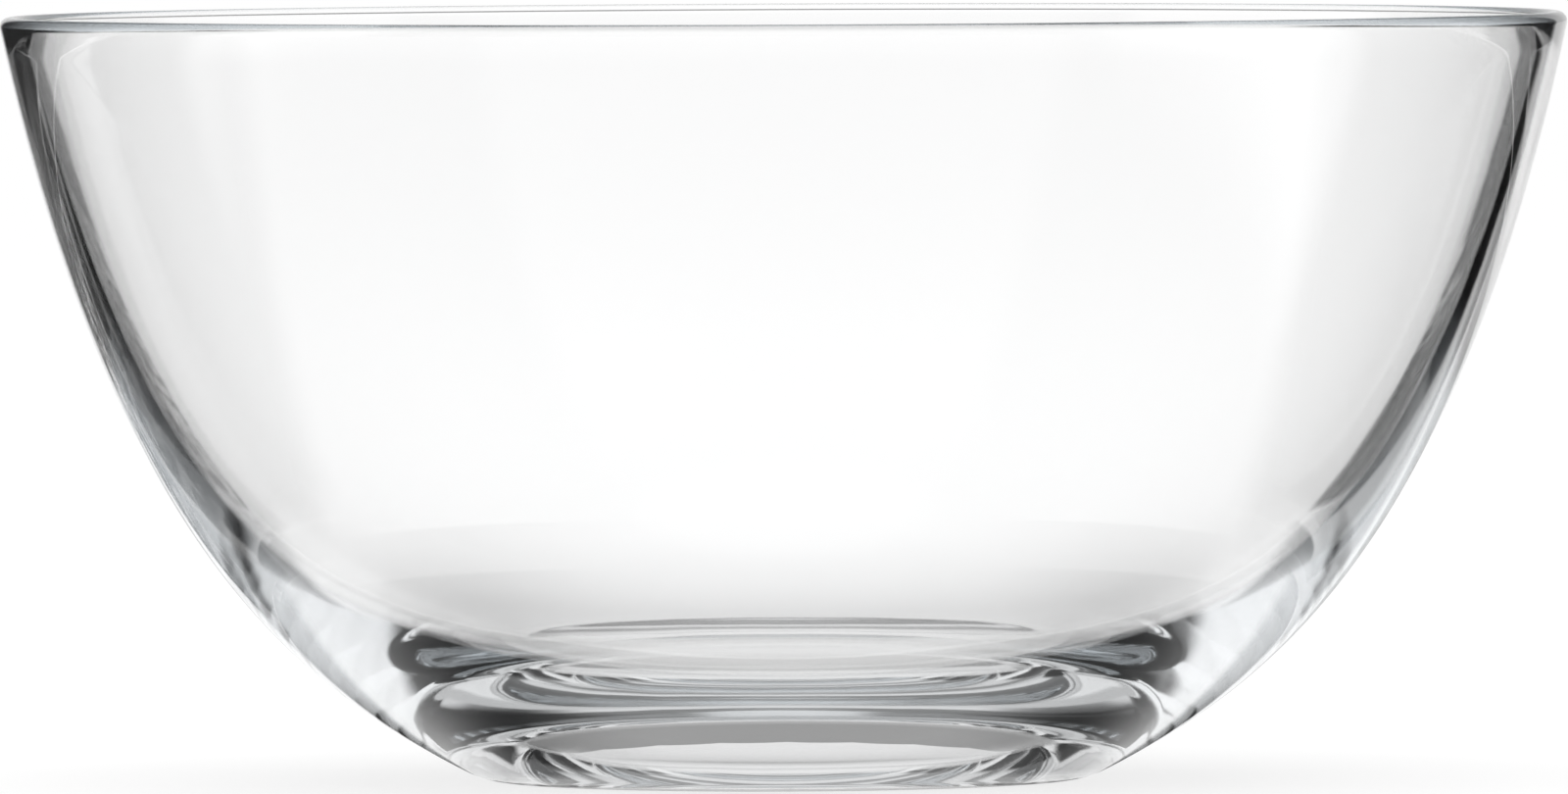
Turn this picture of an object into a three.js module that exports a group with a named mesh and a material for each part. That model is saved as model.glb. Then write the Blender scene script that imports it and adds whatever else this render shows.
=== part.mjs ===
// A salad bowl of clear pressed glass, made in one piece.
// Millimetres, +Z up. The origin is the centre of the circle that the bowl stands on.
import * as THREE from 'three';

// Overall sizes
const RIM_DIAMETER = 260;
const HEIGHT = 127;

// Rim: the wall ends in a half round as thick as the wall is there
const RIM_THICKNESS = 3.4;

// Outer wall: one cubic curve, from the foot's edge up to the rim
const FOOT_DIAMETER = 99.8;
const FOOT_EDGE_RADIUS = 13.1;
const FOOT_RISE = THREE.MathUtils.degToRad(26.5);
const FOOT_PULL = 30.3;
const RIM_LEAN = THREE.MathUtils.degToRad(12.15);
const RIM_PULL = 88.9;

// Inner face: one cubic curve, from the middle of the floor up to the rim
const BASE_THICKNESS = 9.7;
const FLOOR_PULL = 58;
const INNER_LEAN = THREE.MathUtils.degToRad(13.4);
const INNER_PULL = 113.3;

// Underside: a shallow hollow inside the flat ring that touches the table
const HOLLOW_DEPTH = 0.3;
const RING_WIDTH = 6.8;

// Facets
const FACETS_AROUND = 96;
const STEPS = { hollow: 4, edge: 6, outer: 18, rim: 8, inner: 20 };

const point = (radius, height) => new THREE.Vector2(radius, height);

// The point that lies a distance along a direction, given as an angle from the horizontal
const along = (from, angle, distance) =>
  point(from.x + distance * Math.cos(angle), from.y + distance * Math.sin(angle));

// The foot's edge: an arc that rounds the corner between the flat ring and the wall
function footEdge() {
  const reach = FOOT_EDGE_RADIUS * Math.tan(FOOT_RISE / 2);
  const centre = point(FOOT_DIAMETER / 2 - reach, FOOT_EDGE_RADIUS);
  const down = -Math.PI / 2;
  return new THREE.EllipseCurve(
    centre.x, centre.y, FOOT_EDGE_RADIUS, FOOT_EDGE_RADIUS, down, down + FOOT_RISE, false);
}

// The rim: a half circle over the top of the wall, square to the wall's lean
function rimRound() {
  const radius = RIM_THICKNESS / 2;
  const centre = point(RIM_DIAMETER / 2 - radius, HEIGHT - radius);
  return new THREE.EllipseCurve(
    centre.x, centre.y, radius, radius, -RIM_LEAN, Math.PI - RIM_LEAN, false);
}

// A wall curve between two points, each with its direction and the pull of its handle
function wallCurve(start, startAngle, startPull, end, endAngle, endPull) {
  return new THREE.CubicBezierCurve(
    start, along(start, startAngle, startPull), along(end, endAngle, -endPull), end);
}

// The section of the glass, from the axis under the base round to the axis on the floor
function section() {
  const edge = footEdge();
  const rim = rimRound();
  const ringStart = edge.getPoint(0);
  const hollowRadius = ringStart.x - RING_WIDTH;
  const hollow = new THREE.QuadraticBezierCurve(
    point(0, HOLLOW_DEPTH), point(hollowRadius / 2, HOLLOW_DEPTH), point(hollowRadius, 0));
  const outer = wallCurve(
    edge.getPoint(1), FOOT_RISE, FOOT_PULL, rim.getPoint(0), Math.PI / 2 - RIM_LEAN, RIM_PULL);
  const inner = wallCurve(
    point(0, BASE_THICKNESS), 0, FLOOR_PULL, rim.getPoint(1), Math.PI / 2 - INNER_LEAN, INNER_PULL);
  return [
    ...hollow.getPoints(STEPS.hollow),
    ...edge.getPoints(STEPS.edge),
    ...outer.getPoints(STEPS.outer).slice(1),
    ...rim.getPoints(STEPS.rim).slice(1),
    ...inner.getPoints(STEPS.inner).reverse().slice(1),
  ];
}

const glass = new THREE.MeshStandardMaterial({
  name: 'glass',
  color: 0xf4f7f8,
  roughness: 0.03,
  metalness: 0,
  transparent: true,
  opacity: 0.35,
});

function bowl() {
  const mesh = new THREE.Mesh(new THREE.LatheGeometry(section(), FACETS_AROUND), glass);
  mesh.name = 'bowl';
  mesh.rotation.x = Math.PI / 2;
  return mesh;
}

const saladBowl = new THREE.Group();
saladBowl.add(bowl());

export default saladBowl;
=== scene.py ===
"""A clear glass salad bowl on a white table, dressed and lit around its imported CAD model.

Metres, +Z up, in the CAD model's own frame: the bowl's axis is Z and it stands on z = 0.
"""
import logging
import math
from dataclasses import dataclass, field
from enum import Enum
from typing import Any, Callable, Sequence

import bmesh
import bpy
from mathutils import Matrix, Vector


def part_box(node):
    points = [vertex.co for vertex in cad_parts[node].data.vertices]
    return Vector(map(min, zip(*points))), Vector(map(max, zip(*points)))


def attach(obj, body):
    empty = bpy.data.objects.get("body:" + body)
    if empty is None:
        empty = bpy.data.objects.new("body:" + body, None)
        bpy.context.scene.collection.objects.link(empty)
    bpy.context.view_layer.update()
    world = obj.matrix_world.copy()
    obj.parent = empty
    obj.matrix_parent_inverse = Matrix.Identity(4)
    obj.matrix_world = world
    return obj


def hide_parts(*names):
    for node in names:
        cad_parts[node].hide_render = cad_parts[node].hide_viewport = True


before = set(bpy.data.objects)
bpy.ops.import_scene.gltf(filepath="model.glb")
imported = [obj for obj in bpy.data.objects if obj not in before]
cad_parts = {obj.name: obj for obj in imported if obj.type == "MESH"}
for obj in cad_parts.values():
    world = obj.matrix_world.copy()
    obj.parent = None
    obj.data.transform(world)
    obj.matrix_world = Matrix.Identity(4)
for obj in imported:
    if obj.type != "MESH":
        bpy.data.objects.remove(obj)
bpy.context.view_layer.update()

NODE = "bowl"
BODY = "root"

MM = 0.001
Point = tuple[float, float]
Colour = tuple[float, float, float, float]

MOST_BOUNCES = 64
MOST_MIRRORINGS = 26

# Heights of the table top and of the cards on it, which lie on one another
TOP_LAYER = -0.05 * MM
MIDDLE_LAYER = -0.07 * MM
LOW_LAYER = -0.09 * MM
TABLE_LAYER = -0.15 * MM

log = logging.getLogger("salad_bowl")


def even_grey(level: float) -> Colour:
    """A grey from 0, which is black, to 1, which is white."""
    return level, level, level, 1.0


class Value:
    """A number socket that takes part in Python expressions by adding Math nodes."""

    def __init__(self, sheet: "NodeSheet", socket: bpy.types.NodeSocket) -> None:
        """Wrap an output socket of a sheet's node."""
        self.sheet = sheet
        self.socket = socket

    def math(self, operation: str, *operands: Any) -> "Value":
        """Add a Math node.

        Args:
            operation: The Math node's operation.
            operands: Its inputs in order, as numbers or other values.

        Returns:
            The node's result.
        """
        inputs = dict(enumerate(operands))
        node = self.sheet.node("ShaderNodeMath", {"operation": operation}, inputs)
        return Value(self.sheet, node.outputs[0])

    def __add__(self, other: Any) -> "Value":
        """self + other"""
        return self.math("ADD", self, other)

    def __radd__(self, other: Any) -> "Value":
        """other + self"""
        return self.math("ADD", other, self)

    def __sub__(self, other: Any) -> "Value":
        """self - other"""
        return self.math("SUBTRACT", self, other)

    def __rsub__(self, other: Any) -> "Value":
        """other - self"""
        return self.math("SUBTRACT", other, self)

    def __mul__(self, other: Any) -> "Value":
        """self * other"""
        return self.math("MULTIPLY", self, other)

    def __rmul__(self, other: Any) -> "Value":
        """other * self"""
        return self.math("MULTIPLY", other, self)

    def largest(self, other: Any) -> "Value":
        """The larger of self and other."""
        return self.math("MAXIMUM", self, other)

    def within(self, fewest: int, most: int) -> "Value":
        """1 where self, a count, is from fewest to most, otherwise 0."""
        enough = self.math("GREATER_THAN", self, fewest - 0.5)
        return enough * self.math("LESS_THAN", self, most + 0.5)

    def smooth(self, low: float, high: float) -> "Value":
        """A smooth step from 0 at low to 1 at high.

        Args:
            low: The value that gives 0.
            high: The value that gives 1, which may be the smaller one.

        Returns:
            The step's value.
        """
        settings = {"interpolation_type": "SMOOTHSTEP"}
        inputs = {"Value": self, "From Min": low, "From Max": high}
        node = self.sheet.node("ShaderNodeMapRange", settings, inputs)
        return Value(self.sheet, node.outputs["Result"])


class NodeSheet:
    """The node tree of a material or of the world."""

    def __init__(self, owner: bpy.types.Material | bpy.types.World) -> None:
        """Clear the owner's node tree and keep it."""
        owner.use_nodes = True
        self.tree = owner.node_tree
        self.tree.nodes.clear()

    def node(self, kind: str, settings: dict[str, Any] | None = None,
             inputs: dict[str | int, Any] | None = None) -> bpy.types.Node:
        """Add one node.

        Args:
            kind: The node's type.
            settings: Properties of the node, which are set first.
            inputs: Numbers, colours, values or sockets for its inputs, by name or place.

        Returns:
            The new node.
        """
        node = self.tree.nodes.new(kind)
        for name, setting in (settings or {}).items():
            setattr(node, name, setting)
        for name, given in (inputs or {}).items():
            source = given.socket if isinstance(given, Value) else given
            if isinstance(source, bpy.types.NodeSocket):
                self.tree.links.new(source, node.inputs[name])
            else:
                node.inputs[name].default_value = source
        return node

    def value(self, node: bpy.types.Node, output: str | int) -> Value:
        """One of a node's outputs as a value."""
        return Value(self, node.outputs[output])

    def noise(self, scale: float, detail: float, offset: Vector = Vector()) -> Value:
        """Noise over the object's own coordinates.

        Args:
            scale: How many bumps there are in a metre.
            detail: How many finer layers are added.
            offset: A shift of the pattern, so that two noises differ.

        Returns:
            The noise, about 0 to 1.
        """
        place = self.node("ShaderNodeTexCoord")
        shift = self.node("ShaderNodeVectorMath", {"operation": "ADD"},
                          {0: place.outputs["Object"], 1: offset})
        noise = self.node("ShaderNodeTexNoise", None,
                          {"Vector": shift.outputs[0], "Scale": scale, "Detail": detail})
        return self.value(noise, "Fac")

    def looked_at(self) -> Value:
        """1 for rays from the camera and for rays that glass mirrors or passes, otherwise 0."""
        ray = self.node("ShaderNodeLightPath")
        mirrored = self.value(ray, "Is Glossy Ray")
        passed = self.value(ray, "Is Transmission Ray")
        return self.value(ray, "Is Camera Ray").largest(mirrored).largest(passed)


@dataclass(frozen=True)
class ClearGlass:
    """Clear pressed glass that looks faintly blue-grey through its thick parts."""

    name: str = "clear_glass"
    ior: float = 1.5
    tint: tuple[float, float, float] = (0.955, 0.97, 0.98)
    tint_density: float = 8.0
    polish: float = 0.02
    handling: float = 0.006
    handling_scale: float = 55.0
    handling_detail: float = 3.0
    handling_from: float = 0.5
    handling_to: float = 0.75
    chill_scale: float = 70.0
    chill_detail: float = 1.0
    chill_shift: Vector = Vector((3.1, 1.7, 0.4))
    chill_depth: float = 0.012 * MM

    def material(self) -> bpy.types.Material:
        """Make the material.

        Returns:
            A glass material with faint chill ripples and handling marks.
        """
        made = bpy.data.materials.new(self.name)
        sheet = NodeSheet(made)
        handled = sheet.noise(self.handling_scale, self.handling_detail)
        marks = handled.smooth(self.handling_from, self.handling_to)
        ripple = sheet.noise(self.chill_scale, self.chill_detail, self.chill_shift)
        bump = sheet.node("ShaderNodeBump", None,
                          {"Strength": 1.0, "Distance": self.chill_depth, "Height": ripple})
        shader = sheet.node("ShaderNodeBsdfPrincipled", None, {
            "Base Color": even_grey(1.0),
            "Roughness": self.polish + self.handling * marks,
            "IOR": self.ior,
            "Transmission Weight": 1.0,
            "Normal": bump.outputs["Normal"],
        })
        body = sheet.node("ShaderNodeVolumeAbsorption", None,
                          {"Color": (*self.tint, 1.0), "Density": self.tint_density})
        sheet.node("ShaderNodeOutputMaterial", None,
                   {"Surface": shader.outputs[0], "Volume": body.outputs[0]})
        return made


@dataclass(frozen=True)
class WhiteTable:
    """A white table top that looks as white as the background and keeps a faint shadow."""

    name: str = "white_table"
    colour: float = 0.96
    glow_share: float = 0.8

    def material(self) -> bpy.types.Material:
        """Make the material.

        Returns:
            A matt white that mostly shows plain white to the camera and to the glass.
        """
        made = bpy.data.materials.new(self.name)
        sheet = NodeSheet(made)
        matt = sheet.node("ShaderNodeBsdfDiffuse", None, {"Color": even_grey(self.colour)})
        glow = sheet.node("ShaderNodeEmission", None, {"Strength": 1.0})
        both = sheet.node("ShaderNodeMixShader", None, {
            0: self.glow_share * sheet.looked_at(),
            1: matt.outputs[0],
            2: glow.outputs[0],
        })
        sheet.node("ShaderNodeOutputMaterial", None, {"Surface": both.outputs[0]})
        return made


class SeenBy(Enum):
    """Which light a studio card shows to: how often the glass may mirror it and pass it."""

    MIRRORED = ((1, MOST_MIRRORINGS), (0, MOST_BOUNCES))
    MIRRORED_OFTEN = ((3, MOST_MIRRORINGS), (0, MOST_BOUNCES))
    MIRRORED_SELDOM = ((1, 7), (0, MOST_BOUNCES))
    PASSED = ((0, 0), (1, MOST_BOUNCES))
    PASSED_ONCE = ((0, 0), (1, 2))


@dataclass(frozen=True)
class CardFinish:
    """The face of a studio card, which fades towards its edges and shows only in the glass.

    Each fade is a share of the card's width or length. A near fade of 0 leaves that edge hard.
    """

    BEFORE_EDGE = -0.01

    name: str
    brightness: float
    seen_by: SeenBy
    side_fade: float
    near_fade: float
    far_fade: float

    def material(self) -> bpy.types.Material:
        """Make the material.

        Returns:
            An even grey that is clear at its faded edges and to light that it doesn't show to.
        """
        made = bpy.data.materials.new(self.name)
        sheet = NodeSheet(made)
        place = sheet.node("ShaderNodeUVMap", {"uv_map": StudioCard.UV_LAYER})
        split = sheet.node("ShaderNodeSeparateXYZ", None, {"Vector": place.outputs[0]})
        across = sheet.value(split, "X")
        out = sheet.value(split, "Y")
        sides = across.smooth(0.0, self.side_fade) * across.smooth(1.0, 1.0 - self.side_fade)
        ends = out.smooth(self.BEFORE_EDGE, self.near_fade) * out.smooth(1.0, 1.0 - self.far_fade)
        ray = sheet.node("ShaderNodeLightPath")
        mirrored, passed = self.seen_by.value
        shown = (sheet.value(ray, "Glossy Depth").within(*mirrored)
                 * sheet.value(ray, "Transmission Depth").within(*passed))
        clear = sheet.node("ShaderNodeBsdfTransparent")
        grey = sheet.node("ShaderNodeEmission", None,
                          {"Color": even_grey(self.brightness), "Strength": 1.0})
        both = sheet.node("ShaderNodeMixShader", None,
                          {0: sides * ends * shown, 1: clear.outputs[0], 2: grey.outputs[0]})
        sheet.node("ShaderNodeOutputMaterial", None, {"Surface": both.outputs[0]})
        return made


def mesh_object(name: str, work: bmesh.types.BMesh) -> bpy.types.Object:
    """Turn mesh work into a smooth object of the scene.

    Args:
        name: The object's name.
        work: The mesh work, which is freed.

    Returns:
        The new object.
    """
    mesh = bpy.data.meshes.new(name)
    work.to_mesh(mesh)
    work.free()
    for face in mesh.polygons:
        face.use_smooth = True
    made = bpy.data.objects.new(name, mesh)
    bpy.context.scene.collection.objects.link(made)
    return made


def along(start: Point, angle: float, distance: float) -> Point:
    """The point that lies a distance away from start, at an angle from the horizontal."""
    return start[0] + distance * math.cos(angle), start[1] + distance * math.sin(angle)


def arc(centre: Point, radius: float, start: float, end: float) -> Callable[[float], Point]:
    """An arc as a curve that runs from 0 to 1."""
    return lambda t: along(centre, start + (end - start) * t, radius)


def bezier(*handles: Point) -> Callable[[float], Point]:
    """A Bezier curve through its first and last handles, which runs from 0 to 1."""
    def at(t: float) -> Point:
        """The curve's point at t."""
        level = list(handles)
        while len(level) > 1:
            level = [(a[0] + (b[0] - a[0]) * t, a[1] + (b[1] - a[1]) * t)
                     for a, b in zip(level, level[1:])]
        return level[0]
    return at


def steps(curve: Callable[[float], Point], count: int) -> list[Point]:
    """A curve's points at even steps, with both ends."""
    return [curve(i / count) for i in range(count + 1)]


@dataclass
class GlassBowl:
    """The bowl: one turned body of glass, with the section of the CAD solid."""

    rim_radius: float
    height: float
    rim_thickness: float = 3.4 * MM
    foot_radius: float = 49.9 * MM
    foot_edge_radius: float = 13.1 * MM
    foot_rise: float = math.radians(26.5)
    foot_pull: float = 30.3 * MM
    rim_lean: float = math.radians(12.15)
    rim_pull: float = 88.9 * MM
    base_thickness: float = 9.7 * MM
    floor_pull: float = 58.0 * MM
    inner_lean: float = math.radians(13.4)
    inner_pull: float = 113.3 * MM
    hollow_depth: float = 0.3 * MM
    ring_width: float = 6.8 * MM
    turns: int = 360
    hollow_steps: int = 12
    ring_steps: int = 4
    edge_steps: int = 16
    wall_steps: int = 64
    rim_steps: int = 16
    glass: ClearGlass = field(default_factory=ClearGlass)

    @classmethod
    def from_frame(cls) -> "GlassBowl":
        """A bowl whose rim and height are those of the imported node."""
        low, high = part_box(NODE)
        return cls(rim_radius=(high[0] - low[0]) / 2, height=high[2] - low[2])

    def section(self) -> list[Point]:
        """Work out the turned section.

        Returns:
            Radius and height of each point, from the axis under the base to the axis on the floor.
        """
        down = -math.pi / 2
        reach = self.foot_edge_radius * math.tan(self.foot_rise / 2)
        edge_centre = (self.foot_radius - reach, self.foot_edge_radius)
        edge = arc(edge_centre, self.foot_edge_radius, down, down + self.foot_rise)
        round_radius = self.rim_thickness / 2
        rim_centre = (self.rim_radius - round_radius, self.height - round_radius)
        rim = arc(rim_centre, round_radius, -self.rim_lean, math.pi - self.rim_lean)
        hollow_radius = edge(0)[0] - self.ring_width
        hollow = bezier((0.0, self.hollow_depth), (hollow_radius / 2, self.hollow_depth),
                        (hollow_radius, 0.0))
        ring = bezier((hollow_radius, 0.0), edge(0))
        upright = math.pi / 2
        outer = bezier(edge(1), along(edge(1), self.foot_rise, self.foot_pull),
                       along(rim(0), upright - self.rim_lean, -self.rim_pull), rim(0))
        inner = bezier(rim(1), along(rim(1), upright - self.inner_lean, -self.inner_pull),
                       (self.floor_pull, self.base_thickness), (0.0, self.base_thickness))
        return [
            *steps(hollow, self.hollow_steps),
            *steps(ring, self.ring_steps)[1:],
            *steps(edge, self.edge_steps)[1:],
            *steps(outer, self.wall_steps)[1:],
            *steps(rim, self.rim_steps)[1:],
            *steps(inner, self.wall_steps)[1:],
        ]

    def build(self) -> bpy.types.Object:
        """Turn the section into a closed mesh.

        Returns:
            The bowl's object.
        """
        work = bmesh.new()
        points = self.section()
        bottom = work.verts.new((0.0, 0.0, points[0][1]))
        floor = work.verts.new((0.0, 0.0, points[-1][1]))
        rings = [self.ring(work, radius, height) for radius, height in points[1:-1]]
        for lower, upper in zip(rings, rings[1:]):
            self.join(work, lower, upper)
        self.close(work, rings[0], bottom)
        self.close(work, rings[-1], floor)
        bmesh.ops.recalc_face_normals(work, faces=work.faces)
        return mesh_object("glass_bowl", work)

    def ring(self, work: bmesh.types.BMesh, radius: float, height: float) -> list[bmesh.types.BMVert]:
        """One circle of vertices at a point of the section."""
        turn = 2 * math.pi / self.turns
        return [work.verts.new((radius * math.cos(turn * i), radius * math.sin(turn * i), height))
                for i in range(self.turns)]

    def join(self, work: bmesh.types.BMesh, lower: Sequence[bmesh.types.BMVert],
             upper: Sequence[bmesh.types.BMVert]) -> None:
        """Fill the band between two circles with quads."""
        for i in range(self.turns):
            work.faces.new((lower[i - 1], lower[i], upper[i], upper[i - 1]))

    def close(self, work: bmesh.types.BMesh, circle: Sequence[bmesh.types.BMVert],
              middle: bmesh.types.BMVert) -> None:
        """Fill a circle round the axis with triangles."""
        for i in range(self.turns):
            work.faces.new((circle[i - 1], circle[i], middle))

    def dress(self, piece: bpy.types.Object) -> None:
        """Give the bowl its glass and its place in the frame.

        Args:
            piece: The bowl's object.
        """
        piece.data.materials.append(self.glass.material())
        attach(piece, BODY)
        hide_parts(NODE)


@dataclass(frozen=True)
class StudioCard:
    """A curved card that lies or stands on the table and shows only in the glass.

    The near and far edges are each a distance from the bowl's axis and a height over the table.
    Their spans run from a left to a right bearing, in degrees from straight behind the bowl,
    towards the right.
    """

    UV_LAYER = "card_face"

    near: Point
    near_span: Point
    far: Point
    far_span: Point
    finish: CardFinish
    steps_across: int = 24
    steps_out: int = 12

    def build(self) -> bpy.types.Object:
        """Make the card.

        Returns:
            The card's object, hidden from the camera, from diffuse light and from shadows.
        """
        work = bmesh.new()
        layer = work.loops.layers.uv.new(self.UV_LAYER)
        columns = [self.column(work, i / self.steps_across) for i in range(self.steps_across + 1)]
        for i, (left, right) in enumerate(zip(columns, columns[1:])):
            for j in range(self.steps_out):
                face = work.faces.new((left[j], right[j], right[j + 1], left[j + 1]))
                shares = ((i, j), (i + 1, j), (i + 1, j + 1), (i, j + 1))
                for loop, (across, out) in zip(face.loops, shares):
                    loop[layer].uv = (across / self.steps_across, out / self.steps_out)
        card = mesh_object(self.finish.name, work)
        card.data.materials.append(self.finish.material())
        card.visible_camera = False
        card.visible_diffuse = False
        card.visible_shadow = False
        return card

    def column(self, work: bmesh.types.BMesh, share: float) -> list[bmesh.types.BMVert]:
        """The vertices from the near edge to the far one, at a share of the card's width."""
        near = self.corner(self.near, self.near_span, share)
        far = self.corner(self.far, self.far_span, share)
        return [work.verts.new(near.lerp(far, j / self.steps_out)) for j in range(self.steps_out + 1)]

    def corner(self, edge: Point, span: Point, share: float) -> Vector:
        """A place on an edge of the card, at a share of the edge's span."""
        bearing = math.radians(span[0] + (span[1] - span[0]) * share)
        return Vector((edge[0] * math.sin(bearing), edge[0] * math.cos(bearing), edge[1]))


@dataclass
class Studio:
    """The white table, the pale surroundings, the cards and the lamp."""

    table_radius: float = 60.0
    table_height: float = TABLE_LAYER
    table_corners: int = 96
    horizon: float = 0.8
    ceiling: float = 0.112
    ceiling_from: float = 0.08
    ceiling_to: float = 0.42
    zenith: float = 0.48
    zenith_from: float = 0.93
    zenith_to: float = 0.985
    fill: float = 1.04
    lamp_height: float = 1.6
    lamp_size: float = 2.2
    lamp_power: float = 20.0
    cards: list[StudioCard] = field(default_factory=list)

    def build_table(self) -> bpy.types.Object:
        """Make the table top.

        Returns:
            A large round of white.
        """
        work = bmesh.new()
        bmesh.ops.create_circle(work, cap_ends=True, segments=self.table_corners,
                                radius=self.table_radius)
        table = mesh_object("table_top", work)
        table.location.z = self.table_height
        table.data.materials.append(WhiteTable().material())
        return table

    def build_surroundings(self) -> bpy.types.World:
        """Make the world: white to the camera, and in the glass pale low down and grey above.

        Returns:
            The world.
        """
        world = bpy.data.worlds.new("pale_studio")
        sheet = NodeSheet(world)
        place = sheet.node("ShaderNodeTexCoord")
        split = sheet.node("ShaderNodeSeparateXYZ", None, {"Vector": place.outputs["Generated"]})
        height = sheet.value(split, "Z")
        rise = height.smooth(self.ceiling_from, self.ceiling_to)
        top = height.smooth(self.zenith_from, self.zenith_to)
        around = (self.horizon + (self.ceiling - self.horizon) * rise
                  + (self.zenith - self.ceiling) * top)
        ray = sheet.node("ShaderNodeLightPath")
        seen = sheet.value(ray, "Is Camera Ray")
        glass = sheet.value(ray, "Is Glossy Ray").largest(sheet.value(ray, "Is Transmission Ray"))
        traced = sheet.value(ray, "Glossy Depth").within(0, MOST_MIRRORINGS)
        other = 1.0 - seen.largest(glass)
        level = seen + glass * (self.horizon + traced * (around - self.horizon)) + other * self.fill
        light = sheet.node("ShaderNodeBackground", None,
                           {"Color": even_grey(1.0), "Strength": level})
        sheet.node("ShaderNodeOutputWorld", None, {"Surface": light.outputs[0]})
        bpy.context.scene.world = world
        return world

    def build_lamp(self) -> bpy.types.Object:
        """Hang one large soft lamp over the table.

        Returns:
            The lamp's object.
        """
        lamp = bpy.data.lights.new("overhead_softbox", "AREA")
        lamp.shape = "SQUARE"
        lamp.size = self.lamp_size
        lamp.energy = self.lamp_power
        hung = bpy.data.objects.new("overhead_softbox", lamp)
        hung.location.z = self.lamp_height
        hung.visible_camera = False
        hung.visible_glossy = False
        hung.visible_transmission = False
        bpy.context.scene.collection.objects.link(hung)
        return hung


@dataclass(frozen=True)
class PhotoCamera:
    """The photograph's camera: far away, a little above the rim, with a long lens."""

    place: Vector = Vector((0.0, -4.13, 0.183))
    aim: Vector = Vector((-0.00015, 0.0, 0.0634))
    frame_width: float = 260.16 * MM
    sensor: float = 36.0
    roll: float = math.radians(-0.25)
    sight_limit: float = 500.0

    def build(self) -> bpy.types.Object:
        """Set the camera up.

        Returns:
            The camera's object, which is the scene's camera.
        """
        lens = bpy.data.cameras.new("photo_camera")
        sight = self.aim - self.place
        lens.sensor_width = self.sensor
        lens.lens = self.sensor * sight.length / self.frame_width
        lens.clip_end = self.sight_limit
        camera = bpy.data.objects.new("photo_camera", lens)
        turn = sight.to_track_quat("-Z", "Y").to_matrix().to_4x4()
        camera.matrix_world = Matrix.Translation(self.place) @ turn @ Matrix.Rotation(self.roll, 4, "Z")
        bpy.context.scene.collection.objects.link(camera)
        bpy.context.scene.camera = camera
        return camera


def lying(name: str, grey: float, near: float, near_span: Point, far: float, far_span: Point,
          seen_by: SeenBy = SeenBy.MIRRORED, height: float = TOP_LAYER,
          side_fade: float = 0.1) -> StudioCard:
    """Lay a card on the table.

    Args:
        name: The card's name.
        grey: How bright it is.
        near: The near edge's distance from the bowl's axis.
        near_span: The near edge's left and right bearings.
        far: The far edge's distance from the bowl's axis.
        far_span: The far edge's left and right bearings.
        seen_by: The light that it shows to.
        height: The layer that it lies in.
        side_fade: The share of its width that fades on each side.

    Returns:
        A card with soft edges.
    """
    finish = CardFinish(name, grey, seen_by, side_fade, near_fade=0.025, far_fade=0.02)
    return StudioCard((near, height), near_span, (far, height), far_span, finish)


def standing(name: str, grey: float, span: Point, height: float, distance: float = 0.75,
             top_fade: float = 0.25, seen_by: SeenBy = SeenBy.MIRRORED) -> StudioCard:
    """Stand a card up on the table, round the bowl.

    Args:
        name: The card's name.
        grey: How bright it is.
        span: Its left and right bearings.
        height: How high it is.
        distance: How far it is from the bowl's axis.
        top_fade: The share of its height that fades at the top.
        seen_by: The light that it shows to.

    Returns:
        A card with soft sides and a soft top.
    """
    finish = CardFinish(name, grey, seen_by, side_fade=0.12, near_fade=0.0, far_fade=top_fade)
    return StudioCard((distance, 0.0), span, (distance, height), span, finish)


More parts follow.
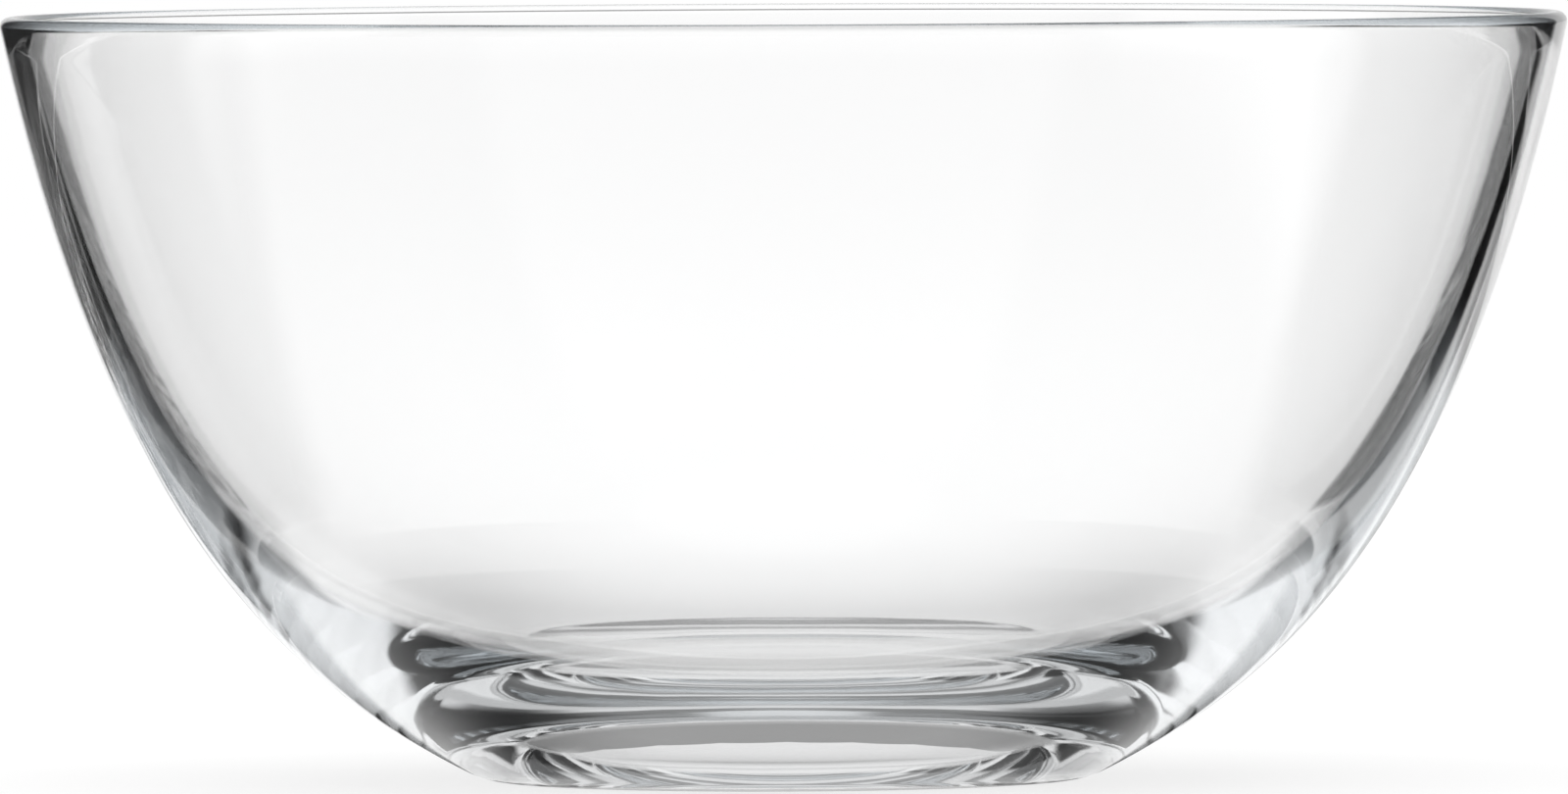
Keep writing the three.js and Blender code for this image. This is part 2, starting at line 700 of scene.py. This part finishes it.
def floor_cards() -> list[StudioCard]:
    """Lay out the cards that darken the glass along its outline and tone the layers in its base, with
    painted shade on the table: grey beside and behind the bowl, and a painted shadow under its base and
    contact ring.

    Returns:
        The lying cards, from the sides to the back, the middle and the front.
    """
    often = SeenBy.MIRRORED_OFTEN
    seldom = SeenBy.MIRRORED_SELDOM
    passed = SeenBy.PASSED
    return [
        # Painted shade: grey patches of the white table beside the bowl, shown only in the glass.
        lying("left_table_painted_shade", 0.42, 0.12, (-110.0, -50.0), 0.745, (-105.0, -24.0), seldom, LOW_LAYER),
        lying("right_table_painted_shade", 0.45, 0.12, (50.0, 110.0), 0.745, (30.0, 105.0), seldom, LOW_LAYER),
        lying("left_inner_floor_card", 0.01, 0.15, (-61.6, -48.8), 0.751, (-33.7, -19.0)),
        lying("left_outer_floor_card", 0.01, 0.12, (-90.7, -62.8), 0.751, (-50.0, -33.3), seldom),
        lying("right_floor_card", 0.0, 0.13, (70.4, 94.5), 0.751, (29.0, 52.5), seldom),
        lying("right_back_floor_card", 0.02, 0.26, (26.0, 46.0), 0.751, (14.0, 34.0), often,
              MIDDLE_LAYER),
        lying("right_far_floor_card", 0.01, 0.175, (40.0, 55.0), 0.751, (20.0, 27.0), passed),
        lying("left_far_floor_card", 0.05, 0.175, (-57.0, -42.0), 0.751, (-27.0, -21.0), passed),
        lying("left_near_floor_card", 0.02, 0.052, (-88.0, -50.0), 0.125, (-88.0, -50.0),
              side_fade=0.25),
        lying("right_near_floor_card", 0.02, 0.052, (50.0, 88.0), 0.125, (50.0, 88.0),
              side_fade=0.25),
        # Painted shade: the table behind the bowl, darker than white as if less lit, shown only in the
        # glass.
        lying("back_table_painted_shade", 0.62, 0.09, (-23.0, 35.0), 0.745, (-23.0, 35.0), height=LOW_LAYER),
        lying("far_floor_strip", 0.35, 0.47, (-32.0, 32.0), 0.63, (-32.0, 32.0), SeenBy.PASSED_ONCE),
        # Painted shade: the table under the hollow, a little grey for the bowl's shadow with some
        # painted caustic light, shown only in the glass.
        lying("under_base_painted_shade", 0.85, 0.001, (0.0, 360.0), 0.039, (0.0, 360.0)),
        # Painted contact shadow: a dark ring of table under the foot's contact ring, shown only in the
        # glass.
        lying("under_ring_painted_shadow", 0.3, 0.041, (0.0, 360.0), 0.05, (0.0, 360.0)),
        lying("front_left_floor_card", 0.02, 0.052, (-162.0, -102.0), 0.11, (-162.0, -102.0),
              side_fade=0.5),
        lying("front_right_floor_card", 0.08, 0.052, (98.0, 158.0), 0.11, (98.0, 158.0),
              side_fade=0.5),
    ]


def upright_cards() -> list[StudioCard]:
    """Set up the cards that give the glass its dark and bright sides and light its base.

    Returns:
        The standing cards, from the sides to the back, and the overhead and front ones.
    """
    often = SeenBy.MIRRORED_OFTEN
    seldom = SeenBy.MIRRORED_SELDOM
    passed = SeenBy.PASSED
    overhead = CardFinish("back_top_card", 0.8, often, side_fade=0.2, near_fade=0.15, far_fade=0.3)
    return [
        standing("left_flag", 0.02, (-65.0, -17.0), 1.1),
        standing("right_flag", 0.02, (29.0, 62.0), 1.1),
        standing("right_far_flag", 0.01, (19.5, 27.0), 0.14, 0.75, 0.25, passed),
        standing("left_far_flag", 0.05, (-27.0, -20.5), 0.14, 0.75, 0.25, passed),
        standing("left_softbox", 1.0, (-124.0, -64.0), 0.5),
        standing("right_softbox", 0.95, (59.0, 117.0), 0.4),
        standing("left_top_flag", 0.04, (-135.0, -55.0), 2.6, 0.78),
        standing("right_top_flag", 0.04, (50.0, 130.0), 2.6, 0.78),
        standing("back_strip", 0.75, (-18.0, 18.0), 0.22, 0.74, 0.3, often),
        standing("back_right_flag", 0.03, (15.0, 40.0), 1.1, 0.76, 0.25, often),
        standing("back_panel", 0.16, (-32.0, 40.0), 0.95, 0.8, 0.1, often),
        StudioCard((0.8, 0.85), (-17.0, 17.0), (0.25, 2.0), (-17.0, 17.0), overhead),
        standing("front_strip", 0.4, (148.0, 212.0), 0.2, 0.76, 0.3, often),
        standing("front_panel", 0.1, (125.0, 235.0), 1.3, 0.8, 0.25, often),
        standing("front_room", 0.3, (110.0, 250.0), 1.4, 0.82, 0.25, seldom),
    ]


def set_render_look(bounces: int = MOST_BOUNCES) -> None:
    """Set plain colours, and bounces enough for light that is caught in the wall to leave it.

    Args:
        bounces: The most bounces that a path may have, of any kind.
    """
    scene = bpy.context.scene
    scene.view_settings.view_transform = "Standard"
    scene.cycles.max_bounces = bounces
    scene.cycles.transmission_bounces = bounces
    scene.cycles.glossy_bounces = bounces
    scene.cycles.transparent_max_bounces = bounces


def main() -> None:
    """Build the camera, the bowl and the studio."""
    logging.basicConfig(level=logging.INFO, format="%(name)s: %(message)s")
    set_render_look()
    camera = PhotoCamera().build()
    log.info("camera %s, lens %.1f mm", camera.name, camera.data.lens)
    bowl = GlassBowl.from_frame()
    piece = bowl.build()
    bowl.dress(piece)
    log.info("piece %s, %d faces", piece.name, len(piece.data.polygons))
    studio = Studio(cards=[*floor_cards(), *upright_cards()])
    for stage in (studio.build_table(), *(card.build() for card in studio.cards)):
        log.info("stage %s", stage.name)
    studio.build_surroundings()
    studio.build_lamp()


if __name__ == "__main__":
    main()
